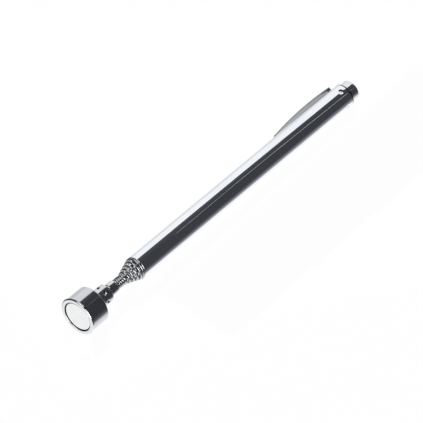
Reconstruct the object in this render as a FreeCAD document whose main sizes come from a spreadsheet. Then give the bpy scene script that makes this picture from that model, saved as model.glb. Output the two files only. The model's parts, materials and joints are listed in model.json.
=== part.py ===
"""A telescopic magnetic pick-up tool with a swivelling pot magnet and a pocket clip.

The tool's axis is X. The origin is the centre of the magnet's working plane, +X runs towards the
tail, the pocket clip is on the +Y side and +Z is up while the tool lies on a bench. Lengths are in
millimetres. A station is a distance along X from the working plane.

Four tubes slide inside the barrel. Each has a stop bush and a friction spring on its rear end, and
each tube's mouth is rolled in behind them, so that a tube can't be pulled out of the next one.
"""

import FreeCAD
import Part

import math
import os
import re

import Sketcher

DRIVING_SIZES = (
    # head: a flux cup with a flange, pressed into a chromed shell
    ("rim_radius", 9.0),
    ("rim_depth", 0.65),
    ("rim_round", 0.25),
    ("cup_bore", 7.2),
    ("cup_radius", 8.0),
    ("cup_floor", 6.0),
    ("cup_end", 7.4),
    ("disc_radius", 6.75),
    ("disc_recess", 0.35),
    ("disc_round", 0.2),
    ("potting_recess", 1.2),
    ("shell_radius", 8.7),
    ("shell_bore", 8.02),
    ("shell_front", 0.8),
    ("shell_floor", 9.7),
    ("shell_round", 0.5),
    ("lip_round", 0.2),
    ("head_end", 10.4),
    ("packing_radius", 7.95),
    ("packing_bore", 3.35),
    # swivel sleeve, riveted through the shell's back
    ("rivet_radius", 2.0),
    ("rivet_clearance", 0.05),
    ("rivet_start", 8.6),
    ("flare_end", 9.2),
    ("flare_radius", 2.9),
    ("washer_radius", 3.2),
    ("sleeve_radius", 4.3),
    ("sleeve_bore", 3.1),
    ("sleeve_floor", 11.0),
    ("sleeve_end", 18.85),
    ("sleeve_chamfer", 0.35),
    ("sleeve_dimple", 15.5),
    ("sleeve_dent_radius", 1.05),
    ("sleeve_dent_offset", 4.75),
    ("sleeve_bump_radius", 0.7),
    ("sleeve_bump_offset", 3.41),
    # ball stud
    ("ball_radius", 3.0),
    ("ball_station", 14.05),
    ("stem_radius", 1.3),
    ("stem_end", 19.65),
    ("pivot_radius", 0.8),
    ("pivot_end", 20.8),
    ("pivot_head_radius", 1.0),
    ("pivot_head_end", 21.7),
    # neck
    ("ferrule_radius", 3.0),
    ("ferrule_start", 19.7),
    ("ferrule_floor", 20.75),
    ("ferrule_end", 23.9),
    ("ferrule_bore", 0.85),
    ("ferrule_chamfer", 0.5),
    ("spring_wire", 0.475),
    ("spring_start", 24.44),
    ("spring_pitch", 1.04),
    ("spring_cone_start", 28.6),
    ("spring_cone_pitch", 1.755),
    ("spring_end", 37.3),
    ("spring_turn", 152.3),
    ("spring_neck", 2.0),
    ("spring_mouth", 4.9),
    ("spring_rest_pitch", 0.15),
    ("spring_rest_end", 37.39),
    # telescopic tubes
    ("barrel_radius", 5.3),
    ("barrel_wall", 0.35),
    ("mouth", 37.9),
    ("barrel_end", 175.6),
    ("barrel_round", 0.25),
    ("tube_wall", 0.3),
    ("rod_wall", 0.4),
    ("section_gap", 0.64),
    ("section_inset", 0.3),
    ("section_stagger", 1.9),
    ("section_end", 168.0),
    ("roll_length", 0.8),
    ("running_clearance", 0.06),
    ("bush_length", 4.0),
    ("leaf_end", 163.5),
    ("leaf_length", 9.0),
    ("leaf_foot", 1.2),
    ("leaf_ramp", 2.0),
    ("leaf_thickness", 0.15),
    ("leaf_clearance", 0.05),
    ("leaf_seat", 0.02),
    ("leaf_angle", 300.0),
    # tail plug, held by dimples in the barrel and by the barrel's rolled end
    ("plug_start", 168.4),
    ("plug_radius", 4.92),
    ("plug_waist", 3.7),
    ("waist_start", 170.2),
    ("waist_end", 173.7),
    ("land_end", 174.9),
    ("plug_neck", 4.5),
    ("groove_start", 175.5),
    ("groove_end", 175.95),
    ("groove_radius", 4.15),
    ("plug_end", 180.1),
    ("plug_round", 0.5),
    ("tail_roll", 4.58),
    ("tail_roll_start", 175.0),
    ("tail_dimple", 171.8),
    ("tail_dent_radius", 2.2),
    ("tail_dent_offset", 7.15),
    ("tail_bump_radius", 1.15),
    ("tail_bump_offset", 5.45),
    # pocket clip
    ("clip_tip", 135.4),
    ("clip_root", 173.4),
    ("clip_peak", 156.7),
    ("clip_height", 2.37),
    ("clip_bow", 148.0),
    ("clip_thickness", 0.5),
    ("clip_tip_width", 2.0),
    ("clip_root_width", 4.6),
    ("clip_leg_thickness", 0.6),
    ("clip_leg_width", 2.6),
    ("clip_leg_top", 6.45),
    ("clip_foot_floor", 4.1),
    ("clip_foot_thickness", 0.4),
    ("clip_foot_length", 2.1),
    ("clip_round", 0.35),
    ("slot_clearance", 0.15),
)

SECTION_COUNT = 4
CLOSE = 0.01
MOST = 0.9
TIP_ROUND_SHARE = 0.45
SLEEVE_DIMPLE_ANGLES = (0, 60, 120, 180, 240, 300)
TAIL_DIMPLE_ANGLES = (100, 190, 280)


def add_sheet(doc):
    """The driving dimensions, one alias to a row."""
    sheet = doc.addObject("Spreadsheet::Sheet", "Sizes")
    for row, (alias, value) in enumerate(DRIVING_SIZES, start=1):
        sheet.set(f"A{row}", alias)
        sheet.set(f"B{row}", str(value))
        sheet.setAlias(f"B{row}", alias)
    doc.recompute()
    return sheet


def bound(formula):
    """A formula written with bare aliases, as an expression that reads the sheet."""
    aliases = {alias for alias, _ in DRIVING_SIZES}
    return re.sub(r"[a-z_]+", lambda word: f"Sizes.{word[0]}" if word[0] in aliases else word[0], formula)


def origin_feature(body, role):
    """One of the body's own origin planes or axes."""
    return next(feature for feature in body.Origin.OriginFeatures if feature.Role == role)


def add_outline(body, outline):
    """A closed sketch of straight edges on the body's XY plane, from (station, radius) formulas."""
    sketch = body.newObject("Sketcher::SketchObject", "Outline")
    sketch.AttachmentSupport = [(origin_feature(body, "XY_Plane"), "")]
    sketch.MapMode = "FlatFace"
    count = len(outline)
    rough = [FreeCAD.Vector(1 + index, 1 + index % 2, 0) for index in range(count)]
    for index in range(count):
        sketch.addGeometry(Part.LineSegment(rough[index], rough[(index + 1) % count]))
    for index in range(count):
        sketch.addConstraint(Sketcher.Constraint("Coincident", index, 2, (index + 1) % count, 1))
    for index, (station, radius) in enumerate(outline):
        for kind, formula, axis, value in (
            ("DistanceX", station, -2, rough[index].x),
            ("DistanceY", radius, -1, rough[index].y),
        ):
            if formula == "0":
                sketch.addConstraint(Sketcher.Constraint("PointOnObject", index, 1, axis))
                continue
            number = sketch.addConstraint(Sketcher.Constraint(kind, -1, 1, index, 1, value))
            sketch.setExpression(f"Constraints[{number}]", bound(formula))
    return sketch


def round_edges(body, sketch, kind, corners, size):
    """A fillet or chamfer on the circular edges that stand on the outline's numbered corners."""
    body.Document.recompute()
    base = body.Tip
    names = []
    for corner in corners:
        point = sketch.Geometry[corner].StartPoint
        for number, edge in enumerate(base.Shape.Edges, start=1):
            curve = edge.Curve
            if not isinstance(curve, Part.Circle):
                continue
            if abs(curve.Center.x - point.x) < 1e-4 and abs(curve.Radius - point.y) < 1e-4:
                names.append(f"Edge{number}")
    feature = body.newObject(f"PartDesign::{kind}", kind)
    feature.Base = (base, names)
    feature.setExpression("Radius" if kind == "Fillet" else "Size", bound(size))
    return feature


def turned(doc, label, outline, blends=(), sweep=None):
    """A body turned about the X axis. Each blend is (Fillet or Chamfer, corner numbers, size)."""
    body = doc.addObject("PartDesign::Body", "Body")
    body.Label = label
    sketch = add_outline(body, outline)
    doc.recompute()
    revolution = body.newObject("PartDesign::Revolution", "Revolution")
    revolution.Profile = sketch
    revolution.ReferenceAxis = (sketch, ["H_Axis"])
    revolution.Midplane = True
    if sweep:
        revolution.setExpression("Angle", bound(sweep))
    for kind, corners, size in blends:
        round_edges(body, sketch, kind, corners, size)
    return body


def add_ball(doc, radius, station, offset=None, angle=0):
    """A sphere on the X axis at a station, or beside it, at an angle from +Y towards +Z."""
    ball = doc.addObject("Part::Sphere", "Ball")
    ball.setExpression("Radius", bound(radius))
    ball.setExpression("Placement.Base.x", bound(station))
    if offset:
        ball.setExpression("Placement.Base.y", f"{bound(offset)} * cos({angle} deg)")
        ball.setExpression("Placement.Base.z", f"{bound(offset)} * sin({angle} deg)")
    return ball


def add_rod(doc, radius, start, end):
    """A cylinder along the X axis between two stations."""
    rod = doc.addObject("Part::Cylinder", "Rod")
    rod.Placement = FreeCAD.Placement(FreeCAD.Vector(), FreeCAD.Rotation(FreeCAD.Vector(0, 1, 0), 90))
    rod.setExpression("Radius", bound(radius))
    rod.setExpression("Height", bound(f"{end} - {start}"))
    rod.setExpression("Placement.Base.x", bound(start))
    return rod


def add_box(doc, low, high):
    """A box between two corners, each three formulas."""
    box = doc.addObject("Part::Box", "Block")
    for side, axis, start, end in zip(("Length", "Width", "Height"), "xyz", low, high):
        box.setExpression(side, bound(f"({end}) - ({start})"))
        box.setExpression(f"Placement.Base.{axis}", bound(start))
    return box


def fused(doc, label, shapes):
    fusion = doc.addObject("Part::MultiFuse", "Fusion")
    fusion.Shapes = shapes
    fusion.Label = label
    return fusion


def cut(doc, label, base, tool):
    difference = doc.addObject("Part::Cut", "Difference")
    difference.Base = base
    difference.Tool = tool
    difference.Label = label
    return difference


def dimpled(doc, label, blank, prefix, angles, more_cuts=()):
    """A tube wall pressed in at several angles: a bump inside and a round dent outside."""
    station = f"{prefix}_dimple"
    bumps = [
        add_ball(doc, f"{prefix}_bump_radius", station, f"{prefix}_bump_offset", angle)
        for angle in angles
    ]
    dents = [
        add_ball(doc, f"{prefix}_dent_radius", station, f"{prefix}_dent_offset", angle)
        for angle in angles
    ]
    raised = fused(doc, f"{label}_raised", [blank, *bumps])
    removed = fused(doc, f"{label}_removed", [*dents, *more_cuts])
    return cut(doc, label, raised, removed)


# The head


def make_flux_cup(doc):
    """The steel pot: its flange is the rim seen round the magnet."""
    outline = [
        ("0", "cup_bore"),
        ("0", "rim_radius"),
        ("rim_depth", "rim_radius"),
        ("rim_depth", "cup_radius"),
        ("cup_end", "cup_radius"),
        ("cup_end", "0"),
        ("cup_floor", "0"),
        ("cup_floor", "cup_bore"),
    ]
    return turned(doc, "flux_cup", outline, [("Fillet", (1, 2), "rim_round")])


def make_magnet_disc(doc):
    outline = [
        ("disc_recess", "0"),
        ("disc_recess", "disc_radius"),
        ("cup_floor", "disc_radius"),
        ("cup_floor", "0"),
    ]
    return turned(doc, "magnet_disc", outline, [("Fillet", (1,), "disc_round")])


def make_potting_ring(doc):
    """The dark resin that fills the slit between magnet and cup."""
    outline = [
        ("potting_recess", "disc_radius"),
        ("potting_recess", "cup_bore"),
        ("cup_floor", "cup_bore"),
        ("cup_floor", "disc_radius"),
    ]
    return turned(doc, "potting_ring", outline)


def make_head_shell(doc):
    outline = [
        ("shell_front", "shell_bore"),
        ("shell_front", "shell_radius"),
        ("head_end", "shell_radius"),
        ("head_end", "rivet_radius + rivet_clearance"),
        ("shell_floor", "rivet_radius + rivet_clearance"),
        ("shell_floor", "shell_bore"),
    ]
    blends = [("Fillet", (2,), "shell_round"), ("Fillet", (1,), "lip_round")]
    return turned(doc, "head_shell", outline, blends)


def make_packing_disc(doc):
    """The spacer between the cup's floor and the shell's back, open round the rivet."""
    outline = [
        ("cup_end", "packing_bore"),
        ("cup_end", "packing_radius"),
        ("shell_floor", "packing_radius"),
        ("shell_floor", "packing_bore"),
    ]
    return turned(doc, "packing_disc", outline)


def make_rivet_washer(doc):
    outline = [
        ("flare_end", "rivet_radius + rivet_clearance"),
        ("flare_end", "washer_radius"),
        ("shell_floor", "washer_radius"),
        ("shell_floor", "rivet_radius + rivet_clearance"),
    ]
    return turned(doc, "rivet_washer", outline)


# The swivel


def make_swivel_sleeve(doc):
    """The socket for the ball, with a solid rivet on its closed end and six dimples behind the ball."""
    outline = [
        ("rivet_start", "0"),
        ("rivet_start", "flare_radius"),
        ("flare_end", "flare_radius"),
        ("flare_end", "rivet_radius"),
        ("head_end", "rivet_radius"),
        ("head_end", "sleeve_radius"),
        ("sleeve_end", "sleeve_radius"),
        ("sleeve_end", "sleeve_bore"),
        ("sleeve_floor", "sleeve_bore"),
        ("sleeve_floor", "0"),
    ]
    blank = turned(doc, "sleeve_blank", outline, [("Chamfer", (5, 6), "sleeve_chamfer")])
    return dimpled(doc, "swivel_sleeve", blank, "sleeve", SLEEVE_DIMPLE_ANGLES)


def make_ball_stud(doc):
    """A ball on a stem. The stem's thin end turns in the ferrule's front wall and is headed behind it."""
    ball = add_ball(doc, "ball_radius", "ball_station")
    stem = add_rod(doc, "stem_radius", "ball_station", "stem_end")
    pivot = add_rod(doc, "pivot_radius", "stem_end", "pivot_end")
    head = add_rod(doc, "pivot_head_radius", "pivot_end", "pivot_head_end")
    return fused(doc, "ball_stud", [ball, stem, pivot, head])


# The neck


def make_neck_ferrule(doc):
    outline = [
        ("ferrule_start", "ferrule_bore"),
        ("ferrule_start", "ferrule_radius"),
        ("ferrule_end", "ferrule_radius"),
        ("ferrule_end", section_radius(SECTION_COUNT)),
        ("ferrule_floor", section_radius(SECTION_COUNT)),
        ("ferrule_floor", "ferrule_bore"),
    ]
    blends = [("Chamfer", (1,), "ferrule_chamfer"), ("Fillet", (2,), "rim_round")]
    return turned(doc, "neck_ferrule", outline, blends)


def helix_edge(pitch, start, end, first_radius, last_radius):
    """A helix along X whose radius grows evenly, with its true pitch and length along the axis."""
    slope = math.atan2(last_radius - first_radius, end - start)
    stretch = 1 / math.cos(slope)
    helix = Part.makeHelix(pitch * stretch, (end - start) * stretch, first_radius, math.degrees(slope))
    along_axis = FreeCAD.Rotation(FreeCAD.Vector(0, 1, 0), 90)
    helix.Placement = FreeCAD.Placement(FreeCAD.Vector(start, 0, 0), along_axis)
    return helix


def angle_about_axis(point):
    return math.degrees(math.atan2(point.z, point.y))


def make_neck_spring(doc):
    """A helical spring: close turns that grip the rod's neck, open turns that widen, a closed end.

    The wire starts at spring_turn, an angle from -Z towards +Y, and winds on in that direction.
    """
    sizes = doc.Sizes
    neck, mouth = sizes.spring_neck, sizes.spring_mouth
    cone_start, cone_end = sizes.spring_cone_start, sizes.spring_end
    helices = [
        helix_edge(sizes.spring_pitch, sizes.spring_start, cone_start, neck, neck),
        helix_edge(sizes.spring_cone_pitch, cone_start, cone_end, neck, mouth),
        helix_edge(sizes.spring_rest_pitch, cone_end, sizes.spring_rest_end, mouth, mouth),
    ]
    angle = sizes.spring_turn - 90
    for helix in helices:
        lag = angle - angle_about_axis(helix.Vertexes[0].Point)
        helix.rotate(FreeCAD.Vector(), FreeCAD.Vector(1, 0, 0), lag)
        angle = angle_about_axis(helix.Vertexes[-1].Point)
    first = helices[0].Edges[0]
    start = first.valueAt(first.FirstParameter)
    heading = first.tangentAt(first.FirstParameter)
    section = Part.Wire([Part.makeCircle(sizes.spring_wire, start, heading)])
    spine = Part.Wire([edge for helix in helices for edge in helix.Edges])
    spring = doc.addObject("Part::Feature", "Spring")
    spring.Shape = spine.makePipeShell([section], True, True)
    spring.Label = "neck_spring"
    return spring


# The telescopic tubes


def section_radius(number):
    """The outer radius of a sliding tube, counted from the outermost."""
    walls = f"barrel_wall + {number - 1} * tube_wall"
    return f"barrel_radius - ({walls}) - {number} * section_gap"


def surround_bore(number):
    """The bore that a sliding tube runs in."""
    return f"{section_radius(number)} + section_gap"


def make_section_tube(doc, number):
    """A tube with its mouth rolled in round the next one. The innermost has no roll."""
    outer = section_radius(number)
    front = f"mouth + section_inset - {number - 1} * section_stagger"
    if number == SECTION_COUNT:
        outline = [
            ("ferrule_floor", f"{outer} - rod_wall"),
            ("ferrule_floor", outer),
            ("section_end", outer),
            ("section_end", f"{outer} - rod_wall"),
        ]
        return turned(doc, f"section_{number}_tube", outline)
    inner = f"{outer} - tube_wall"
    roll = f"{section_radius(number + 1)} + running_clearance"
    outline = [
        (front, roll),
        (front, outer),
        ("section_end", outer),
        ("section_end", inner),
        (f"{front} + roll_length", inner),
        (f"{front} + roll_length", roll),
    ]
    return turned(doc, f"section_{number}_tube", outline, [("Fillet", (1,), "barrel_round")])


def make_stop_bush(doc, number):
    inner = section_radius(number)
    outer = f"{surround_bore(number)} - running_clearance"
    outline = [
        ("section_end - bush_length", inner),
        ("section_end - bush_length", outer),
        ("section_end", outer),
        ("section_end", inner),
    ]
    return turned(doc, f"section_{number}_stop_bush", outline)


def make_friction_spring(doc, number):
    """A split sleeve of thin strip, raised along its middle to rub on the bore."""
    low = f"{section_radius(number)} + leaf_seat"
    high = f"{surround_bore(number)} - leaf_clearance"
    front = "leaf_end - leaf_length"
    outline = [
        (front, low),
        (f"{front} + leaf_foot", low),
        (f"{front} + leaf_foot + leaf_ramp", f"{high} - leaf_thickness"),
        ("leaf_end - leaf_foot - leaf_ramp", f"{high} - leaf_thickness"),
        ("leaf_end - leaf_foot", low),
        ("leaf_end", low),
        ("leaf_end", f"{low} + leaf_thickness"),
        ("leaf_end - leaf_foot", f"{low} + leaf_thickness"),
        ("leaf_end - leaf_foot - leaf_ramp", high),
        (f"{front} + leaf_foot + leaf_ramp", high),
        (f"{front} + leaf_foot", f"{low} + leaf_thickness"),
        (front, f"{low} + leaf_thickness"),
    ]
    return turned(doc, f"section_{number}_friction_spring", outline, sweep="leaf_angle")


# The barrel, its plug and the pocket clip


def make_barrel_tube(doc):
    """The outer tube: mouth and tail rolled in, three dimples, and a slot for the clip's leg."""
    bore = "barrel_radius - barrel_wall"
    outline = [
        ("mouth", f"{section_radius(1)} + running_clearance"),
        ("mouth", "barrel_radius"),
        ("barrel_end", "barrel_radius"),
        ("barrel_end", "tail_roll"),
        ("tail_roll_start", "tail_roll"),
        ("tail_roll_start", bore),
        ("mouth + roll_length", bore),
        ("mouth + roll_length", f"{section_radius(1)} + running_clearance"),
    ]
    blends = [("Fillet", (1,), "barrel_round"), ("Fillet", (2,), "2 * barrel_round")]
    blank = turned(doc, "barrel_blank", outline, blends)
    half_slot = "0.5 * clip_leg_width + slot_clearance"
    slot = add_box(
        doc,
        ("clip_root - clip_leg_thickness - slot_clearance", "clip_foot_floor", f"-({half_slot})"),
        ("clip_root + slot_clearance", "barrel_radius + 1", half_slot),
    )
    return dimpled(doc, "barrel_tube", blank, "tail", TAIL_DIMPLE_ANGLES, [slot])


def make_tail_plug(doc):
    outline = [
        ("plug_start", "0"),
        ("plug_start", "plug_radius"),
        ("waist_start", "plug_radius"),
        ("waist_start", "plug_waist"),
        ("waist_end", "plug_waist"),
        ("waist_end", "plug_radius"),
        ("land_end", "plug_radius"),
        ("land_end", "plug_neck"),
        ("groove_start", "plug_neck"),
        ("groove_start", "groove_radius"),
        ("groove_end", "groove_radius"),
        ("groove_end", "plug_neck"),
        ("plug_end", "plug_neck"),
        ("plug_end", "0"),
    ]
    return turned(doc, "tail_plug", outline, [("Fillet", (12,), "plug_round")])


def add_bow_cylinder(doc, radius):
    """A wide cylinder across the tool, whose top is the bow of the clip."""
    cylinder = doc.addObject("Part::Cylinder", "Bow")
    cylinder.setExpression("Radius", bound(radius))
    cylinder.setExpression("Height", bound("clip_root_width"))
    cylinder.setExpression("Placement.Base.x", bound("clip_peak"))
    cylinder.setExpression("Placement.Base.y", bound("barrel_radius + clip_height - clip_bow"))
    cylinder.setExpression("Placement.Base.z", bound("-0.5 * clip_root_width"))
    return cylinder


def add_clip_plan(doc):
    """The clip's tapered plan, as a wedge that widens from tip to root."""
    wedge = doc.addObject("Part::Wedge", "Plan")
    wedge.Placement = FreeCAD.Placement(FreeCAD.Vector(), FreeCAD.Rotation(FreeCAD.Vector(0, 0, 1), -90))
    for side in ("X", "X2"):
        wedge.setExpression(f"{side}min", bound("-(barrel_radius + 2 * clip_height)"))
        wedge.setExpression(f"{side}max", bound("-barrel_radius"))
    wedge.setExpression("Ymin", bound("clip_tip"))
    wedge.setExpression("Ymax", bound("clip_root"))
    for side, width in (("Z", "clip_tip_width"), ("Z2", "clip_root_width")):
        wedge.setExpression(f"{side}min", bound(f"-0.5 * {width}"))
        wedge.setExpression(f"{side}max", bound(f"0.5 * {width}"))
    return wedge


def make_pocket_clip(doc):
    """A bowed spring strip. Its leg goes through the barrel's slot and hooks in the plug's waist."""
    strip = cut(
        doc,
        "clip_strip",
        add_bow_cylinder(doc, "clip_bow"),
        add_bow_cylinder(doc, "clip_bow - clip_thickness"),
    )
    tapered = doc.addObject("Part::MultiCommon", "Tapered")
    tapered.Shapes = [strip, add_clip_plan(doc)]
    half_leg = "0.5 * clip_leg_width"
    leg = add_box(
        doc,
        ("clip_root - clip_leg_thickness", "clip_foot_floor", f"-{half_leg}"),
        ("clip_root", "clip_leg_top", half_leg),
    )
    foot = add_box(
        doc,
        ("clip_root - clip_foot_length", "clip_foot_floor", f"-{half_leg}"),
        ("clip_root", "clip_foot_floor + clip_foot_thickness", half_leg),
    )
    blank = fused(doc, "clip_blank", [tapered, leg, foot])
    blank.Refine = True
    doc.recompute()
    return rounded_clip(doc, blank)


def rounded_clip(doc, blank):
    """The strip's corners rounded in plan at the tip, and its root edge rounded over the bend."""
    sheet = doc.Sizes
    tip, root = sheet.clip_tip, sheet.clip_root
    tip_round = TIP_ROUND_SHARE * sheet.clip_tip_width
    rounds = []
    for number, edge in enumerate(blank.Shape.Edges, start=1):
        box = edge.BoundBox
        across = box.ZLength > MOST * sheet.clip_root_width
        upright = box.YLength > MOST * sheet.clip_thickness and box.ZLength < CLOSE
        if upright and abs(box.XMax - tip) < CLOSE:
            rounds.append((number, tip_round, tip_round))
        if across and abs(box.XMin - root) < CLOSE and box.YMax > sheet.clip_leg_top:
            rounds.append((number, sheet.clip_round, sheet.clip_round))
    fillet = doc.addObject("Part::Fillet", "Rounds")
    fillet.Base = blank
    fillet.Edges = rounds
    fillet.Label = "pocket_clip"
    return fillet


def check(doc, pieces):
    """Stops with a plain message where an object failed or a piece isn't a sound solid."""
    for item in doc.Objects:
        if "Invalid" in item.State or "Error" in item.State:
            raise RuntimeError(f"{item.Label} did not compute: {item.State}")
    for piece in pieces:
        if piece.Shape.isNull() or not piece.Shape.isValid() or not piece.Shape.Solids:
            raise RuntimeError(f"{piece.Label} has no valid solid")


def main():
    doc = FreeCAD.newDocument("PickUpTool")
    add_sheet(doc)
    pieces = [
        make_flux_cup(doc),
        make_magnet_disc(doc),
        make_potting_ring(doc),
        make_head_shell(doc),
        make_packing_disc(doc),
        make_rivet_washer(doc),
        make_swivel_sleeve(doc),
        make_ball_stud(doc),
        make_neck_ferrule(doc),
        make_neck_spring(doc),
        make_barrel_tube(doc),
        make_tail_plug(doc),
        make_pocket_clip(doc),
    ]
    for number in range(1, SECTION_COUNT + 1):
        pieces.append(make_section_tube(doc, number))
        pieces.append(make_stop_bush(doc, number))
        pieces.append(make_friction_spring(doc, number))
    doc.recompute()
    check(doc, pieces)
    os.makedirs("parts", exist_ok=True)
    for piece in pieces:
        piece.Shape.exportStep(f"parts/{piece.Label}.step")


main()
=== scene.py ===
"""The looks of a chromed telescopic magnetic pick-up tool, built round its CAD frame.

The tool's axis is X, with the magnet at the origin and the tail at +X. Lengths are in metres, and
MM turns a size in millimetres into them. Stations and radii are read from the CAD nodes' boxes.
"""

import json
import math

import bmesh
import bpy
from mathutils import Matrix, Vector


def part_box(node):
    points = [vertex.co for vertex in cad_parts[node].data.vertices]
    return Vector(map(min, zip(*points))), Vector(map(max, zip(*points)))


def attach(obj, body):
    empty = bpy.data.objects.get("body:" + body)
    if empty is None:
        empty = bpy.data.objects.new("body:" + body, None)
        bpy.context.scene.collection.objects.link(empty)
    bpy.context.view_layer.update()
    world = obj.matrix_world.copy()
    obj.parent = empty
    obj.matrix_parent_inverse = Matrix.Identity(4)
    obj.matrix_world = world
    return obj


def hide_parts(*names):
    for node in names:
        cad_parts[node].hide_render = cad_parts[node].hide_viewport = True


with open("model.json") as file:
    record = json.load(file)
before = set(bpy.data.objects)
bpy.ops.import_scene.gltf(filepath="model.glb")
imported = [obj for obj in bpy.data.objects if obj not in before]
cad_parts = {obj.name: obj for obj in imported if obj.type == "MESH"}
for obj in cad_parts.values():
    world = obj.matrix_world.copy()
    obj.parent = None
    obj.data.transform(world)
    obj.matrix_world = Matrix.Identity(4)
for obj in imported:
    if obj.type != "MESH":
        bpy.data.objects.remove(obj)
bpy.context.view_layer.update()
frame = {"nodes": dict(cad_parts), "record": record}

MM = 0.001
AROUND = 192  # segments round a turned piece
ARC_STEPS = 6  # segments in a rounded corner
TINY = 1e-7  # a length too small to matter


# Shape helpers


def station(node, side):
    """The first (side 0) or last (side 1) station of a CAD node."""
    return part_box(node)[side].x


def radius(node):
    """The largest radius of a turned CAD node."""
    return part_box(node)[1].z


def rounded(corners):
    """A closed outline in (station, radius) with a round of the given size at each corner."""
    outline = []
    count = len(corners)
    for index, (x, r, size) in enumerate(corners):
        here = Vector((x, r))
        before = Vector(corners[index - 1][:2]) - here
        after = Vector(corners[(index + 1) % count][:2]) - here
        if size <= 0:
            outline.append(here)
            continue
        before.normalize()
        after.normalize()
        half = math.acos(max(-1, min(1, before.dot(after)))) / 2
        reach = size / math.tan(half)
        centre = here + (before + after).normalized() * (size / math.sin(half))
        first = here + before * reach - centre
        last = here + after * reach - centre
        turn = first.angle_signed(last)
        for step in range(ARC_STEPS + 1):
            angle = -turn * step / ARC_STEPS
            spun = Vector((
                first.x * math.cos(angle) - first.y * math.sin(angle),
                first.x * math.sin(angle) + first.y * math.cos(angle),
            ))
            outline.append(centre + spun)
    return outline


def divided(outline, start, end, step):
    """The outline with extra points on its outer edge between two stations."""
    result = []
    for index, here in enumerate(outline):
        following = outline[(index + 1) % len(outline)]
        result.append(here)
        level = abs(here.y - following.y) < TINY and here.y > 0
        outward = following.x > here.x
        if not level or not outward:
            continue
        low, high = max(start, here.x), min(end, following.x)
        count = max(0, int((high - low) / step))
        for number in range(1, count):
            result.append(Vector((low + (high - low) * number / count, here.y)))
    return result


def finished(name, mesh):
    """The bmesh as a smooth-shaded object whose flat faces keep flat normals."""
    bmesh.ops.recalc_face_normals(mesh, faces=mesh.faces)
    data = bpy.data.meshes.new(name)
    mesh.to_mesh(data)
    mesh.free()
    piece = bpy.data.objects.new(name, data)
    bpy.context.scene.collection.objects.link(piece)
    for polygon in data.polygons:
        polygon.use_smooth = True
    weighted = piece.modifiers.new("flat faces stay flat", "WEIGHTED_NORMAL")
    weighted.weight = 100
    return piece


def ring_mesh(name, outline, around=AROUND):
    """A closed outline turned about the X axis."""
    mesh = bmesh.new()
    rings = []
    for point in outline:
        if point.y < TINY:
            rings.append([mesh.verts.new((point.x, 0, 0))] * around)
            continue
        ring = []
        for number in range(around):
            angle = 2 * math.pi * number / around
            ring.append(mesh.verts.new((point.x, point.y * math.cos(angle), point.y * math.sin(angle))))
        rings.append(ring)
    for index, ring in enumerate(rings):
        following = rings[(index + 1) % len(rings)]
        for number in range(around):
            other = (number + 1) % around
            corners = [ring[number], ring[other], following[other], following[number]]
            unique = list(dict.fromkeys(corners))
            if len(unique) > 2:
                mesh.faces.new(unique)
    return finished(name, mesh)


def skinned(name, mesh, rings):
    """Faces from each ring to the next, and a flat cap on each end."""
    size = len(rings[0])
    for ring, following in zip(rings, rings[1:]):
        for number in range(size):
            other = (number + 1) % size
            mesh.faces.new([ring[number], ring[other], following[other], following[number]])
    mesh.faces.new(rings[0])
    mesh.faces.new(rings[-1])
    return finished(name, mesh)


def heading(points, index):
    """The direction of a line of points at one of them."""
    ahead = points[min(index + 1, len(points) - 1)] - points[max(index - 1, 0)]
    return ahead.normalized()


DIMPLED_DEPTH = 0.5 * MM  # how far under a wall's outside a dimple takes the wall with it


def press_dimple(piece, x, wall_radius, angle, size, depth):
    """Presses a round dimple into a turned wall, at an angle from +Y towards +Z."""
    centre = Vector((x, wall_radius * math.cos(angle), wall_radius * math.sin(angle)))
    for vertex in piece.data.vertices:
        point = vertex.co
        if math.hypot(point.y, point.z) < wall_radius - DIMPLED_DEPTH:
            continue
        away = (point - centre).length / size
        if away < 1:
            inward = Vector((0, -point.y, -point.z)).normalized()
            vertex.co = point + inward * depth * (1 - away * away) ** 1.5


# Material helpers


def node_in(tree, kind, **settings):
    node = tree.nodes.new(kind)
    for name, value in settings.items():
        setattr(node, name, value)
    return node


def new_material(name):
    """A material with its Principled shader and its object coordinates."""
    material = bpy.data.materials.new(name)
    material.use_nodes = True
    tree = material.node_tree
    shader = tree.nodes["Principled BSDF"]
    coordinates = node_in(tree, "ShaderNodeTexCoord")
    return material, tree, shader, coordinates.outputs["Object"]


def stretched_noise(tree, coordinates, scale, detail):
    """Noise whose grain has its own scale along X, Y and Z."""
    mapping = node_in(tree, "ShaderNodeMapping")
    mapping.inputs["Scale"].default_value = scale
    tree.links.new(coordinates, mapping.inputs["Vector"])
    noise = node_in(tree, "ShaderNodeTexNoise")
    noise.inputs["Scale"].default_value = 1
    noise.inputs["Detail"].default_value = detail
    tree.links.new(mapping.outputs["Vector"], noise.inputs["Vector"])
    return noise.outputs["Fac"]


def ranged(tree, value, low, high, start=0.3, end=0.7):
    """A value spread from start and end to low and high. The defaults suit noise."""
    spread = node_in(tree, "ShaderNodeMapRange")
    spread.inputs["From Min"].default_value = start
    spread.inputs["From Max"].default_value = end
    spread.inputs["To Min"].default_value = low
    spread.inputs["To Max"].default_value = high
    tree.links.new(value, spread.inputs["Value"])
    return spread.outputs["Result"]


def mixed(tree, factor, first, second):
    """A mix of two colours."""
    mix = node_in(tree, "ShaderNodeMix", data_type="RGBA")
    tree.links.new(factor, mix.inputs["Factor"])
    mix.inputs["A"].default_value = (*first, 1)
    mix.inputs["B"].default_value = (*second, 1)
    return mix.outputs["Result"]


def bumped(tree, shader, height, distance):
    """Gives the shader a bump whose full height is the given distance."""
    bump = node_in(tree, "ShaderNodeBump")
    bump.inputs["Distance"].default_value = distance
    bump.inputs["Strength"].default_value = 1.0
    tree.links.new(height, bump.inputs["Height"])
    tree.links.new(bump.outputs["Normal"], shader.inputs["Normal"])


CLOUDS = (90, 90, 90)  # grain of the faint haze on plate


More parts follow.
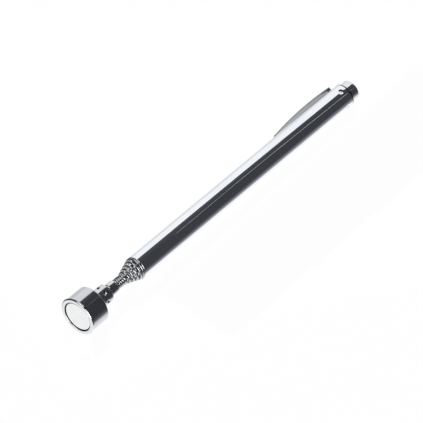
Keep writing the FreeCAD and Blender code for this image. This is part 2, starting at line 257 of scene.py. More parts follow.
def plated(name, tint, rough, grain, bump, haze=0.04):
    """Polished plate. Grain is the noise scale per metre along X, Y and Z: low along the polish."""
    material, tree, shader, coordinates = new_material(name)
    shader.inputs["Metallic"].default_value = 1.0
    fine = stretched_noise(tree, coordinates, grain, 3)
    cloudy = stretched_noise(tree, coordinates, CLOUDS, 4)
    worn = tuple(channel * (1 - haze) for channel in tint)
    colour = mixed(tree, ranged(tree, cloudy, 0, 1), tint, worn)
    tree.links.new(colour, shader.inputs["Base Color"])
    tree.links.new(ranged(tree, fine, rough * 0.6, rough * 1.5), shader.inputs["Roughness"])
    bumped(tree, shader, fine, bump)
    return material


def plain(name, tint, second_tint, rough, grain, bump, metallic=0.0):
    """A matt or turned finish that varies between two tints."""
    material, tree, shader, coordinates = new_material(name)
    shader.inputs["Metallic"].default_value = metallic
    fine = stretched_noise(tree, coordinates, grain, 4)
    tree.links.new(mixed(tree, ranged(tree, fine, 0, 1), tint, second_tint), shader.inputs["Base Color"])
    tree.links.new(ranged(tree, fine, rough * 0.8, rough * 1.2), shader.inputs["Roughness"])
    bumped(tree, shader, fine, bump)
    return material


SEAM_SOFTNESS = 0.04 * MM  # half the width over which a seam's shade starts and ends


def paint_seam_shade(material, start, end, share):
    """Paints shade onto a plated piece between two stations: the shadow in the gap where the barrel meets
    the plug.
    """
    tree = material.node_tree
    shader = tree.nodes["Principled BSDF"]
    colour = shader.inputs["Base Color"].links[0].from_socket
    coordinates = node_in(tree, "ShaderNodeTexCoord")
    parts = node_in(tree, "ShaderNodeSeparateXYZ")
    tree.links.new(coordinates.outputs["Object"], parts.inputs[0])
    rise = ranged(tree, parts.outputs["X"], 0, 1, start - SEAM_SOFTNESS, start + SEAM_SOFTNESS)
    fall = ranged(tree, parts.outputs["X"], 1, 0, end - SEAM_SOFTNESS, end + SEAM_SOFTNESS)
    within = node_in(tree, "ShaderNodeMath", operation="MULTIPLY")
    tree.links.new(rise, within.inputs[0])
    tree.links.new(fall, within.inputs[1])
    dark = node_in(tree, "ShaderNodeMix", data_type="RGBA")
    tree.links.new(within.outputs[0], dark.inputs["Factor"])
    tree.links.new(colour, dark.inputs["A"])
    dark.inputs["B"].default_value = (share, share * 0.95, share * 0.9, 1)
    tree.links.new(dark.outputs["Result"], shader.inputs["Base Color"])


# Materials, one for each of the record's slots

DRAWN = (30, 2600, 2600)  # grain of a tube drawn along X
TURNED = (5200, 60, 60)  # grain of a piece turned about X
EVEN = (1500, 1500, 1500)

materials = {
    "barrel_chrome": plated("barrel_chrome", (0.86, 0.87, 0.885), 0.035, DRAWN, 0.25e-6),
    "section_chrome": plated("section_chrome", (0.86, 0.87, 0.885), 0.04, DRAWN, 0.25e-6),
    "shell_chrome": plated("shell_chrome", (0.64, 0.635, 0.65), 0.06, TURNED, 0.12e-6, 0.06),
    "rim_chrome": plated("rim_chrome", (0.81, 0.81, 0.815), 0.07, TURNED, 0.12e-6),
    "neck_chrome": plated("neck_chrome", (0.72, 0.72, 0.725), 0.06, TURNED, 0.2e-6, 0.08),
    "plug_chrome": plated("plug_chrome", (0.80, 0.79, 0.79), 0.09, TURNED, 0.3e-6, 0.1),
    "clip_chrome": plated("clip_chrome", (0.34, 0.345, 0.36), 0.12, DRAWN, 0.3e-6),
    "spring_wire": plated("spring_wire", (0.58, 0.58, 0.585), 0.05, EVEN, 0.1e-6),
    "magnet_plating": plated("magnet_plating", (0.92, 0.91, 0.885), 0.16, EVEN, 0.4e-6, 0.03),
    "plain_steel": plain("plain_steel", (0.52, 0.52, 0.53), (0.42, 0.42, 0.43), 0.28, TURNED, 1e-6, 1.0),
    "potting": plain("potting", (0.012, 0.012, 0.014), (0.03, 0.03, 0.032), 0.55, EVEN, 8e-6),
    "packing": plain("packing", (0.16, 0.15, 0.14), (0.22, 0.21, 0.19), 0.8, EVEN, 10e-6),
    "bush_brass": plain("bush_brass", (0.70, 0.50, 0.20), (0.60, 0.42, 0.17), 0.25, TURNED, 1e-6, 1.0),
    "spring_bronze": plain("spring_bronze", (0.62, 0.38, 0.20), (0.50, 0.30, 0.16), 0.3, DRAWN, 1e-6, 1.0),
}
# Painted shade at the seam, where the barrel's end meets the plug, darkening the base colour of both
# pieces.
paint_seam_shade(materials["plug_chrome"], 175.3 * MM, 176.1 * MM, 0.02)
paint_seam_shade(materials["barrel_chrome"], 174.8 * MM, 175.8 * MM, 0.05)


# What each piece stands for

slots = {part["node"]: part["material_slot"] for part in frame["record"]["subparts"]}
body_of = {
    node: body
    for body, nodes in frame["record"]["behaviour"]["bodies"].items()
    for node in nodes
}


def stand_for(piece, node):
    """The piece stands for a CAD node, moves with its body and has its slot's material."""
    slot = slots[node]
    piece.data.materials.clear()
    piece.data.materials.append(materials[slot])
    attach(piece, body_of[node])
    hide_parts(node)


def turned_piece(name, node, corners, dimple_band=None):
    """A turned piece that stands for a CAD node. Corners are (station, radius, round)."""
    outline = rounded(corners)
    if dimple_band:
        outline = divided(outline, *dimple_band)
    piece = ring_mesh(name, outline)
    stand_for(piece, node)
    return piece


# The head: rim and cup, magnet, resin and housing

RIM_BORE = radius("potting_ring")
RIM_DEPTH = 0.65 * MM
CUP_RADIUS = radius("flux_cup") - 1.0 * MM
CUP_FLOOR = station("potting_ring", 1)
SHELL_BORE = CUP_RADIUS + 0.02 * MM
SHELL_BACK = 0.7 * MM  # thickness of the housing's back
SHELL_HOLE = 2.05 * MM  # radius of the rivet's hole
RESIN_HOLLOW = 0.1 * MM


def make_rim_and_cup():
    rim = radius("flux_cup")
    cup_end = station("flux_cup", 1)
    turned_piece("rim_and_cup", "flux_cup", [
        (0, RIM_BORE, 0.12 * MM),
        (0, rim, 0.55 * MM),
        (RIM_DEPTH, rim, 0.06 * MM),
        (RIM_DEPTH, CUP_RADIUS, 0),
        (cup_end, CUP_RADIUS, 0.2 * MM),
        (cup_end, 0, 0),
        (CUP_FLOOR, 0, 0),
        (CUP_FLOOR, RIM_BORE, 0),
    ])


def make_magnet():
    disc = radius("magnet_disc")
    front = station("magnet_disc", 0)
    turned_piece("magnet_face", "magnet_disc", [
        (front, 0, 0),
        (front, disc, 0.22 * MM),
        (CUP_FLOOR, disc, 0.1 * MM),
        (CUP_FLOOR, 0, 0),
    ])


def make_resin():
    disc = radius("magnet_disc")
    front = station("potting_ring", 0)
    turned_piece("resin_ring", "potting_ring", [
        (front, disc, 0),
        (front + RESIN_HOLLOW, (disc + RIM_BORE) / 2, 0),
        (front, RIM_BORE, 0),
        (CUP_FLOOR, RIM_BORE, 0),
        (CUP_FLOOR, disc, 0),
    ])


def make_housing():
    front, back = station("head_shell", 0), station("head_shell", 1)
    shell = radius("head_shell")
    inside = back - SHELL_BACK
    turned_piece("magnet_housing", "head_shell", [
        (front, SHELL_BORE, 0),
        (front, shell, 0.22 * MM),
        (back, shell, 0.5 * MM),
        (back, SHELL_HOLE, 0),
        (inside, SHELL_HOLE, 0),
        (inside, SHELL_BORE, 0),
    ])


# The swivel: sleeve, ball stud and collar

SLEEVE_DIMPLES = [math.radians(60 * number) for number in range(6)]
SLEEVE_DIMPLE_STATION = 15.5 * MM
SLEEVE_DIMPLE_SIZE = 1.05 * MM
SLEEVE_DIMPLE_DEPTH = 0.6 * MM
SLEEVE_BAND = 1.3 * MM  # half the length that holds the dimples
BAND_STEP = 0.1 * MM  # the mesh's step where dimples are pressed
RIVET_RADIUS = 2.0 * MM
RIVET_HEAD_RADIUS = 2.9 * MM
SOCKET_FLOOR = 0.6 * MM  # thickness of the socket's floor
BALL_PLAY = 0.1 * MM
BALL_STEPS = 40
STEM_RADIUS = 1.3 * MM
STEM_AROUND = 96
PIVOT_RADIUS = 0.8 * MM
PIVOT_LENGTH = 2.05 * MM
PIVOT_HEAD_RADIUS = 1.0 * MM
PIVOT_HEAD_LENGTH = 0.9 * MM
COLLAR_BORE = 0.85 * MM


def make_sleeve():
    """The socket, riveted through the housing's back, with a ring of crimp dimples."""
    sleeve = radius("swivel_sleeve")
    first, mouth = station("swivel_sleeve", 0), station("swivel_sleeve", 1)
    start = station("head_shell", 1)
    bore = radius("ball_stud") + BALL_PLAY
    flare_end = station("rivet_washer", 0)
    socket = start + SOCKET_FLOOR
    band = (SLEEVE_DIMPLE_STATION - SLEEVE_BAND, SLEEVE_DIMPLE_STATION + SLEEVE_BAND, BAND_STEP)
    piece = turned_piece("swivel_socket", "swivel_sleeve", [
        (first, 0, 0),
        (first, RIVET_HEAD_RADIUS, 0.2 * MM),
        (flare_end, RIVET_HEAD_RADIUS, 0),
        (flare_end, RIVET_RADIUS, 0),
        (start, RIVET_RADIUS, 0),
        (start, sleeve, 0.35 * MM),
        (mouth, sleeve, 0.35 * MM),
        (mouth, bore, 0.1 * MM),
        (socket, bore, 0),
        (socket, 0, 0),
    ], band)
    for angle in SLEEVE_DIMPLES:
        press_dimple(piece, SLEEVE_DIMPLE_STATION, sleeve, angle, SLEEVE_DIMPLE_SIZE, SLEEVE_DIMPLE_DEPTH)


def make_ball_stud():
    """The ball, its stem and the headed pivot that turns in the collar."""
    ball = radius("ball_stud")
    centre, end = station("ball_stud", 0) + ball, station("ball_stud", 1)
    neck, head = end - PIVOT_LENGTH, end - PIVOT_HEAD_LENGTH
    last = math.pi - math.asin(STEM_RADIUS / ball)
    outline = []
    for step in range(BALL_STEPS + 1):
        angle = last * step / BALL_STEPS
        outline.append(Vector((centre - ball * math.cos(angle), ball * math.sin(angle))))
    stem_and_pivot = rounded([
        (neck, STEM_RADIUS, 0.15 * MM),
        (neck, PIVOT_RADIUS, 0),
        (head, PIVOT_RADIUS, 0),
        (head, PIVOT_HEAD_RADIUS, 0),
        (end, PIVOT_HEAD_RADIUS, 0.1 * MM),
        (end, 0, 0),
    ])
    outline.extend(stem_and_pivot[1:])
    stand_for(ring_mesh("ball_and_stem", outline, STEM_AROUND), "ball_stud")


def make_collar():
    front, back = station("neck_ferrule", 0), station("neck_ferrule", 1)
    outer, tube = radius("neck_ferrule"), radius("section_4_tube")
    floor = station("section_4_tube", 0)
    turned_piece("neck_collar", "neck_ferrule", [
        (front, COLLAR_BORE, 0),
        (front, outer, 0.55 * MM),
        (back, outer, 0.3 * MM),
        (back, tube, 0),
        (floor, tube, 0),
        (floor, COLLAR_BORE, 0),
    ])


# The four sliding tubes, the barrel and the plug

TUBE_WALL = 0.3 * MM
INNERMOST_WALL = 0.4 * MM
BARREL_WALL = 0.35 * MM
RUNNING = 0.06 * MM  # clearance round a tube in a rolled mouth
MOUTH_ROLL = 0.8 * MM  # length of a rolled mouth
INNERMOST = 4


def make_innermost_tube():
    node = f"section_{INNERMOST}_tube"
    front, back = station(node, 0), station(node, 1)
    outer = radius(node)
    inner = outer - INNERMOST_WALL
    turned_piece(f"inner_tube_{INNERMOST}", node, [
        (front, inner, 0),
        (front, outer, 0.1 * MM),
        (back, outer, 0.1 * MM),
        (back, inner, 0),
    ])


def make_tube(number):
    """A tube whose mouth is rolled in round the next tube."""
    node = f"section_{number}_tube"
    front, back = station(node, 0), station(node, 1)
    outer = radius(node)
    inner = outer - TUBE_WALL
    lip = radius(f"section_{number + 1}_tube") + RUNNING
    turned_piece(f"inner_tube_{number}", node, [
        (front, lip, 0.08 * MM),
        (front, outer, 0.25 * MM),
        (back, outer, 0.05 * MM),
        (back, inner, 0),
        (front + MOUTH_ROLL, inner, 0),
        (front + MOUTH_ROLL, lip, 0),
    ])


TAIL_DIMPLES = [math.radians(angle) for angle in (100, 190, 280)]
TAIL_DIMPLE_STATION = 171.8 * MM
TAIL_DIMPLE_SIZE = 1.35 * MM
TAIL_DIMPLE_DEPTH = 0.45 * MM
TAIL_BAND = (TAIL_DIMPLE_STATION - 1.5 * MM, TAIL_DIMPLE_STATION + 1.9 * MM, BAND_STEP)
TAIL_ROLL_RADIUS = 4.58 * MM
TAIL_ROLL = 0.6 * MM  # length of the rolled end


def make_barrel():
    mouth, end = station("barrel_tube", 0), station("barrel_tube", 1)
    outer = radius("barrel_tube")
    bore = outer - BARREL_WALL
    lip = radius("section_1_tube") + RUNNING
    piece = turned_piece("barrel", "barrel_tube", [
        (mouth, lip, 0.1 * MM),
        (mouth, outer, 0.25 * MM),
        (end, outer, 0.5 * MM),
        (end, TAIL_ROLL_RADIUS, 0.1 * MM),
        (end - TAIL_ROLL, TAIL_ROLL_RADIUS, 0),
        (end - TAIL_ROLL, bore, 0),
        (mouth + MOUTH_ROLL, bore, 0),
        (mouth + MOUTH_ROLL, lip, 0),
    ], TAIL_BAND)
    for angle in TAIL_DIMPLES:
        press_dimple(piece, TAIL_DIMPLE_STATION, outer, angle, TAIL_DIMPLE_SIZE, TAIL_DIMPLE_DEPTH)


PLUG_WAIST = 3.7 * MM
PLUG_NECK = 4.5 * MM
PLUG_GROOVE = 4.15 * MM
WAIST_START, WAIST_END = 1.8 * MM, 5.3 * MM  # lengths along the plug, from its front
LAND_END = 6.5 * MM
GROOVE_START, GROOVE_END = 7.1 * MM, 7.55 * MM


def make_plug():
    """The turned plug, with a waist under the dimples and a groove at the barrel's end."""
    start, end = station("tail_plug", 0), station("tail_plug", 1)
    land = radius("tail_plug")
    turned_piece("tail_stopper", "tail_plug", [
        (start, 0, 0),
        (start, land, 0.2 * MM),
        (start + WAIST_START, land, 0),
        (start + WAIST_START, PLUG_WAIST, 0),
        (start + WAIST_END, PLUG_WAIST, 0),
        (start + WAIST_END, land, 0),
        (start + LAND_END, land, 0),
        (start + LAND_END, PLUG_NECK, 0),
        (start + GROOVE_START, PLUG_NECK, 0),
        (start + GROOVE_START, PLUG_GROOVE, 0),
        (start + GROOVE_END, PLUG_GROOVE, 0),
        (start + GROOVE_END, PLUG_NECK, 0.08 * MM),
        (end, PLUG_NECK, 0.5 * MM),
        (end, 0, 0),
    ])


# The neck spring

WIRE_RADIUS = 0.475 * MM
WIRE_AROUND = 20  # segments round the wire
STEPS_PER_TURN = 72
SPRING_START = 24.44 * MM
SPRING_TURN = math.radians(152.3)  # where the wire starts, turned from -Z towards +Y
SPRING_STAGES = (  # last station, coil radius there, pitch
    (28.6 * MM, 2.0 * MM, 1.04 * MM),
    (37.3 * MM, 4.9 * MM, 1.755 * MM),
    (37.39 * MM, 4.9 * MM, 0.15 * MM),
)


def on_coil(x, coil, angle):
    return Vector((x, coil * math.sin(angle), -coil * math.cos(angle)))


def spring_line():
    """The wire's centre line: close turns on the neck, a widening cone, and a closed end."""
    line = []
    x, coil, angle = SPRING_START, SPRING_STAGES[0][1], SPRING_TURN
    for end, last_coil, pitch in SPRING_STAGES:
        steps = round((end - x) / pitch * STEPS_PER_TURN)
        first_coil, first = coil, x
        for step in range(steps):
            share = step / steps
            coil = first_coil + (last_coil - first_coil) * share
            line.append(on_coil(first + (end - first) * share, coil, angle))
            angle += 2 * math.pi * (end - first) / pitch / steps
        x, coil = end, last_coil
    line.append(on_coil(x, coil, angle))
    return line


def make_spring():
    """The round wire swept along its line, with flat ends."""
    line = spring_line()
    turns = [2 * math.pi * number / WIRE_AROUND for number in range(WIRE_AROUND)]
    mesh = bmesh.new()
    rings = []
    for index, point in enumerate(line):
        ahead = heading(line, index)
        outward = Vector((0, point.y, point.z)).normalized()
        outward = (outward - ahead * outward.dot(ahead)).normalized()
        side = ahead.cross(outward)
        rings.append([
            mesh.verts.new(point + WIRE_RADIUS * (outward * math.cos(turn) + side * math.sin(turn)))
            for turn in turns
        ])
    stand_for(skinned("cone_spring", mesh, rings), "neck_spring")


# The pocket clip

CLIP_THICKNESS = 0.5 * MM
CLIP_TIP_WIDTH, CLIP_ROOT_WIDTH, CLIP_LEG_WIDTH = 2.0 * MM, 4.6 * MM, 2.6 * MM
CLIP_TIP_EDGE = 0.1 * MM  # width of the strip's first edge, where its tip's round starts
CLIP_PEAK = 156.7 * MM  # station of the bow's highest point
CLIP_RISE = 2.37 * MM  # height of that point above the barrel
CLIP_BOW = 148 * MM  # radius of the bow
CLIP_BEND = 0.75 * MM  # outer radius of the bend at the root
FOOT_BEND = 0.3 * MM
FOOT_LENGTH = 2.1 * MM
CLIP_EDGE_ROUND = 0.12 * MM
CLIP_CROWN = 0.12 * MM  # how far the strip's middle stands above its edges
BOW_STEPS, BEND_STEPS, LEG_STEPS, FOOT_STEPS = 60, 10, 6, 4


def clip_bow(tip, root):
    """The bowed strip from its tip to the bend at its root, as (point, width) pairs."""
    barrel = radius("barrel_tube")
    half_tip = CLIP_TIP_WIDTH / 2
    bow = []
    for step in range(BOW_STEPS + 1):
        x = tip + (root - CLIP_BEND - tip) * step / BOW_STEPS
        top = barrel + CLIP_RISE - CLIP_BOW + math.sqrt(CLIP_BOW * CLIP_BOW - (x - CLIP_PEAK) ** 2)
        width = CLIP_TIP_WIDTH + (CLIP_ROOT_WIDTH - CLIP_TIP_WIDTH) * (x - tip) / (root - tip)
        edge = x - tip
        if edge < half_tip:
            width = 2 * math.sqrt(max(0.0, half_tip ** 2 - (half_tip - edge) ** 2)) + CLIP_TIP_EDGE
        bow.append((Vector((x, top - CLIP_THICKNESS / 2, 0)), width))
    return bow


def clip_leg(last, root, foot):
    """The bend at the root, the leg and its hooked foot, as (point, width) pairs."""
    leg = []
    turn_radius = CLIP_BEND - CLIP_THICKNESS / 2
    for step in range(1, BEND_STEPS + 1):
        angle = math.pi / 2 * step / BEND_STEPS
        point = last + Vector((turn_radius * math.sin(angle), -turn_radius * (1 - math.cos(angle)), 0))
        narrowing = max(0.0, step / BEND_STEPS - 0.3) / 0.7
        leg.append((point, CLIP_ROOT_WIDTH - (CLIP_ROOT_WIDTH - CLIP_LEG_WIDTH) * narrowing))
    x, top = leg[-1][0].x, leg[-1][0].y
    floor = foot + CLIP_THICKNESS / 2
    for step in range(1, LEG_STEPS + 1):
        y = top + (floor + FOOT_BEND - top) * step / LEG_STEPS
        leg.append((Vector((x, y, 0)), CLIP_LEG_WIDTH))
    centre = Vector((x - FOOT_BEND, floor + FOOT_BEND, 0))
    for step in range(1, FOOT_STEPS + 1):
        angle = math.pi / 2 * step / FOOT_STEPS
        leg.append((centre + FOOT_BEND * Vector((math.cos(angle), -math.sin(angle), 0)), CLIP_LEG_WIDTH))
    leg.append((Vector((root - FOOT_LENGTH, floor, 0)), CLIP_LEG_WIDTH))
    return leg


def strip_section(width):
    """The strip's rounded and slightly crowned section, as (across, height) pairs."""
    half, deep = width / 2, CLIP_THICKNESS / 2
    soft = min(CLIP_EDGE_ROUND, half * 0.9)
    section = []
    for across, over, start_angle in ((1, 1, 0), (-1, 1, 90), (-1, -1, 180), (1, -1, 270)):
        for step in range(4):
            angle = math.radians(start_angle + 30 * step)
            z = across * (half - soft) + soft * math.cos(angle)
            lift = over * (deep - soft) + soft * math.sin(angle)
            crown = CLIP_CROWN * (1 - (2 * z / CLIP_ROOT_WIDTH) ** 2) - CLIP_CROWN / 2
            section.append((z, lift + crown))
    return section


def make_clip():
    """A strip bowed along the barrel, with a rounded tip, a bend at its root and a hooked leg."""
    low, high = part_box("pocket_clip")
    bow = clip_bow(low.x, high.x)
    path = bow + clip_leg(bow[-1][0], high.x, low.y)
    points = [point for point, width in path]
    mesh = bmesh.new()
    rings = []
    for index, (point, width) in enumerate(path):
        up = Vector((0, 0, 1)).cross(heading(points, index))
        rings.append([
            mesh.verts.new(point + up * height + Vector((0, 0, across)))
            for across, height in strip_section(width)
        ])
    stand_for(skinned("spring_clip", mesh, rings), "pocket_clip")


make_rim_and_cup()
make_magnet()
make_resin()
make_housing()
make_sleeve()
make_ball_stud()
make_collar()
for section in range(1, INNERMOST):
    make_tube(section)
make_innermost_tube()
make_barrel()
make_plug()
make_spring()
make_clip()

KEPT = ("packing_disc", "rivet_washer", "stop_bush", "friction_spring")  # inner CAD nodes that stay
for node in slots:
    if node.endswith(KEPT):
        cad = frame["nodes"][node]
        cad.data.materials.clear()
        cad.data.materials.append(materials[slots[node]])


# The stage: a white floor, a surround for the chrome to reflect, and the camera

RIM_RADIUS = radius("flux_cup")
TAIL = station("barrel_tube", 1)
SLOPE = math.atan2(RIM_RADIUS - radius("barrel_tube"), TAIL)  # the floor under a tool that lies on it
FLOOR_REACH = 6.0
FLOOR_GAP = 0.02 * MM  # the floor lies this far under the rim


def floor_height(x):
    """The height of the surface that the rim and the barrel's tail lie on."""
    return -RIM_RADIUS + x * math.tan(SLOPE)


def make_floor():
    """A white floor with a faint gloss."""
    data = bpy.data.meshes.new("floor")
    corners = []
    for side_x, side_y in ((-1, -1), (1, -1), (1, 1), (-1, 1)):
        x, y = side_x * FLOOR_REACH, side_y * FLOOR_REACH
        corners.append((x, y, floor_height(x) - FLOOR_GAP))
    data.from_pydata(corners, [], [(0, 1, 2, 3)])
    floor = bpy.data.objects.new("floor", data)
    bpy.context.scene.collection.objects.link(floor)
    material = bpy.data.materials.new("white_acrylic")
    material.use_nodes = True
    tree = material.node_tree
    tree.nodes.clear()
    glow = node_in(tree, "ShaderNodeEmission")
    glow.inputs["Color"].default_value = (1, 1, 1, 1)
    glow.inputs["Strength"].default_value = 1.0
    gloss = node_in(tree, "ShaderNodeBsdfGlossy")
    gloss.inputs["Roughness"].default_value = 0.02
    mix = node_in(tree, "ShaderNodeMixShader")
    mix.inputs["Fac"].default_value = 0.02
    output = node_in(tree, "ShaderNodeOutputMaterial")
    tree.links.new(glow.outputs["Emission"], mix.inputs[1])
    tree.links.new(gloss.outputs["BSDF"], mix.inputs[2])
    tree.links.new(mix.outputs["Shader"], output.inputs["Surface"])
    data.materials.append(material)
    floor.visible_glossy = False
    floor.visible_diffuse = False


# What reflections see, by the angle round X: 0 is the near horizon, 90 the zenith, 180 the far one.
# The two lists hold for directions that lean towards the tail and towards the head.
TAIL_SIDE = (
    (-180, 0.80),
    (-160, 0.82),
    (-123, 1.06),
    (-62, 1.08),
    (-45, 0.74),
    (-40, 0.45),
    (-33, 0.18),
    (-18, 0.085),
    (-4, 0.054),
    (60, 0.05),
    (88, 0.062),
    (112, 0.085),
    (119, 0.90),
    (140, 1.0),
    (155, 1.0),
    (170, 0.92),
    (180, 0.80),
)
HEAD_SIDE = (
    (-180, 0.02),
    (-150, 0.02),
    (-138, 0.50),
    (-128, 0.97),
    (-62, 1.08),
    (-45, 0.74),
    (-32, 0.03),
    (0, 0.02),
    (180, 0.02),
)
LEAN_START, LEAN_END = 0.36, 0.46  # direction's X where the head's list gives way to the tail's
DARK_TINT = (0.93, 0.98, 1.12)
BRIGHT_TINT = (0.985, 1.0, 1.03)
DARK_LEVEL = 0.3  # levels under this one have the dark tint


def level_ramp(tree, share, levels):
    """A colour ramp of grey levels, each at its position from 0 to 1."""
    ramp = node_in(tree, "ShaderNodeValToRGB")
    stops = ramp.color_ramp.elements
    while len(stops) > 1:
        stops.remove(stops[-1])
    for index, (position, level) in enumerate(levels):
        stop = stops[0] if index == 0 else stops.new(position)
        stop.position = position
        tint = DARK_TINT if level < DARK_LEVEL else BRIGHT_TINT
        stop.color = (*(level * channel for channel in tint), 1)
    tree.links.new(share, ramp.inputs["Fac"])
    return ramp.outputs["Color"]


def ring_ramp(tree, share, ring):
    """A ramp over the whole angle round X."""
    return level_ramp(tree, share, [((degrees + 180) / 360, level) for degrees, level in ring])


def make_surround():
    """White light, except that reflections see the two rings of levels."""
    world = bpy.data.worlds.new("white_studio")
    bpy.context.scene.world = world
    world.use_nodes = True
    tree = world.node_tree
    tree.nodes.clear()
    direction = node_in(tree, "ShaderNodeTexCoord")
    parts = node_in(tree, "ShaderNodeSeparateXYZ")
    tree.links.new(direction.outputs["Generated"], parts.inputs[0])
    near = node_in(tree, "ShaderNodeMath", operation="MULTIPLY")
    near.inputs[1].default_value = -1
    tree.links.new(parts.outputs["Y"], near.inputs[0])
    angle = node_in(tree, "ShaderNodeMath", operation="ARCTAN2")
    tree.links.new(parts.outputs["Z"], angle.inputs[0])
    tree.links.new(near.outputs[0], angle.inputs[1])
    share = ranged(tree, angle.outputs[0], 0, 1, -math.pi, math.pi)
    surround = node_in(tree, "ShaderNodeMix", data_type="RGBA")
    tree.links.new(ranged(tree, parts.outputs["X"], 0, 1, LEAN_START, LEAN_END), surround.inputs["Factor"])
    tree.links.new(ring_ramp(tree, share, HEAD_SIDE), surround.inputs["A"])
    tree.links.new(ring_ramp(tree, share, TAIL_SIDE), surround.inputs["B"])
    seen = node_in(tree, "ShaderNodeBackground")
    tree.links.new(surround.outputs["Result"], seen.inputs["Color"])
    white = node_in(tree, "ShaderNodeBackground")
    white.inputs["Color"].default_value = (1, 1, 1, 1)
    rays = node_in(tree, "ShaderNodeLightPath")
    mix = node_in(tree, "ShaderNodeMixShader")
    output = node_in(tree, "ShaderNodeOutputWorld")
    tree.links.new(rays.outputs["Is Glossy Ray"], mix.inputs["Fac"])
    tree.links.new(white.outputs["Background"], mix.inputs[1])
    tree.links.new(seen.outputs["Background"], mix.inputs[2])
    tree.links.new(mix.outputs["Shader"], output.inputs["Surface"])


# Cards: glowing sheets that only reflections show

CARD_HEIGHT = 0.3
OVERHEAD_EDGE = (  # (x, y) of the overhead card's edge on the near side
    (0.170, 0.165),
    (0.213, 0.150),
    (0.246, 0.136),
    (0.300, 0.110),
    (0.358, 0.056),
    (1.6, -0.6),
)
OVERHEAD_FAR_EDGE = ((1.6, 1.4), (0.72, 1.4), (0.53, 1.0), (0.30, 0.5))
STRIP_LINE = (  # (x, y) of the thin light's centre line
    (0.262, -0.132),
    (0.277, -0.128),
    (0.298, -0.116),
    (0.333, -0.137),
    (0.374, -0.184),
    (0.399, -0.216),
    (0.430, -0.250),
)
STRIP_HALF_WIDTH = 0.006
HEAD_STRIP = ((0.192, -0.125), (0.217, -0.125), (0.217, -0.107), (0.192, -0.107))
UPPER_GLINT = ((-0.8, -0.06), (-0.02, -0.06), (-0.02, 0.2), (-0.8, 0.2))
SIDE_GLINT = (  # an upright card towards the head, on the near side
    (-0.6, -0.7, -0.1),
    (-0.6, -0.2, -0.1),
    (-0.6, -0.2, 0.42),
    (-0.6, -0.7, 0.42),
)
TABLE_LEVELS = (  # (distance in front of the axis, brightness) of the table beside the barrel
    (0.052, 0.05),
    (0.035, 0.10),
    (0.019, 0.18),
    (0.0126, 0.33),
    (0.0105, 0.60),
    (0.0085, 0.90),
)
TABLE_CORNERS = ((0.040, 0.0110), (0.040, 0.052), (0.23, 0.052), (0.23, 0.0080))
TABLE_SLANT = 0.022  # the levels lie further out towards the mouth


def emissive(name, colour, strength):
    material = bpy.data.materials.new(name)
    material.use_nodes = True
    tree = material.node_tree
    tree.nodes.clear()
    glow = node_in(tree, "ShaderNodeEmission")
    glow.inputs["Color"].default_value = (*colour, 1)
    glow.inputs["Strength"].default_value = strength
    output = node_in(tree, "ShaderNodeOutputMaterial")
    tree.links.new(glow.outputs["Emission"], output.inputs["Surface"])
    return material


def card(name, corners, strength):
    data = bpy.data.meshes.new(name)
    data.from_pydata(corners, [], [list(range(len(corners)))])
    sheet = bpy.data.objects.new(name, data)
    bpy.context.scene.collection.objects.link(sheet)
    data.materials.append(emissive(name, BRIGHT_TINT, strength))
    sheet.visible_camera = False
    sheet.visible_diffuse = False
    sheet.visible_shadow = False
    return sheet


def level_card(name, corners, strength):
    """A card at the cards' height, by its corners' (x, y)."""
    card(name, [(x, y, CARD_HEIGHT) for x, y in corners], strength)


def make_thin_strip():
    """The thin light that draws a line along the barrel."""
    for number, ((x, y), (next_x, next_y)) in enumerate(zip(STRIP_LINE, STRIP_LINE[1:])):
        level_card(f"thin_strip_{number}", [
            (x, y - STRIP_HALF_WIDTH),
            (next_x, next_y - STRIP_HALF_WIDTH),
            (next_x, next_y + STRIP_HALF_WIDTH),
            (x, y + STRIP_HALF_WIDTH),
        ], 0.60)


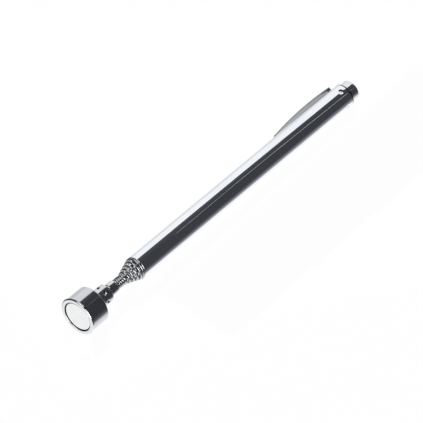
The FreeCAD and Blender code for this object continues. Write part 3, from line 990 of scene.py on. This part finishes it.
def make_table_shade():
    """The table beside the barrel, darker with distance."""
    table = card("table_shade", [(x, -y, floor_height(x)) for x, y in TABLE_CORNERS], 1.0)
    tree = table.data.materials[0].node_tree
    coordinates = node_in(tree, "ShaderNodeTexCoord")
    parts = node_in(tree, "ShaderNodeSeparateXYZ")
    tree.links.new(coordinates.outputs["Object"], parts.inputs[0])
    slant = node_in(tree, "ShaderNodeMath", operation="MULTIPLY_ADD")
    tree.links.new(parts.outputs["X"], slant.inputs[0])
    slant.inputs[1].default_value = -TABLE_SLANT
    slant.inputs[2].default_value = TABLE_SLANT * TAIL
    shifted = node_in(tree, "ShaderNodeMath", operation="ADD")
    tree.links.new(parts.outputs["Y"], shifted.inputs[0])
    tree.links.new(slant.outputs[0], shifted.inputs[1])
    far, near = TABLE_LEVELS[0][0], TABLE_LEVELS[-1][0]
    share = ranged(tree, shifted.outputs[0], 0, 1, -far, -near)
    levels = [((far - distance) / (far - near), level) for distance, level in TABLE_LEVELS]
    glow = next(node for node in tree.nodes if node.type == "EMISSION")
    tree.links.new(level_ramp(tree, share, levels), glow.inputs["Color"])


def make_cards():
    level_card("overhead_card", [*OVERHEAD_EDGE, *OVERHEAD_FAR_EDGE], 1.05)
    make_thin_strip()
    level_card("head_strip", HEAD_STRIP, 0.17)
    make_table_shade()
    card("glint_card", SIDE_GLINT, 4.5)
    level_card("upper_glint_card", UPPER_GLINT, 1.4)


# The camera

AZIMUTH, ELEVATION = -49.38, 45.53
DISTANCE = 4.0
FRAME_WIDTH = 180.8 * MM
AIM_STATION = 85.2 * MM
AIM_BELOW = 2.0 * MM  # the view's centre lies this far below the axis, as seen
SENSOR = 36.0


def make_camera():
    azimuth, elevation = math.radians(AZIMUTH), math.radians(ELEVATION)
    back = Vector((
        math.sin(azimuth) * math.cos(elevation),
        -math.cos(azimuth) * math.cos(elevation),
        math.sin(elevation),
    ))
    below_axis = Vector((1, 0, 0)).cross(back).normalized()
    target = Vector((AIM_STATION, 0, 0)) + below_axis * AIM_BELOW
    data = bpy.data.cameras.new("camera")
    data.sensor_width = SENSOR
    data.lens = SENSOR * DISTANCE / FRAME_WIDTH
    camera = bpy.data.objects.new("camera", data)
    bpy.context.scene.collection.objects.link(camera)
    camera.location = target + back * DISTANCE
    camera.rotation_mode = "QUATERNION"
    camera.rotation_quaternion = (-back).to_track_quat("-Z", "Y")
    data.clip_start, data.clip_end = 0.1, 20
    bpy.context.scene.camera = camera


make_floor()
make_surround()
make_cards()
make_camera()
bpy.context.scene.view_settings.view_transform = "Standard"
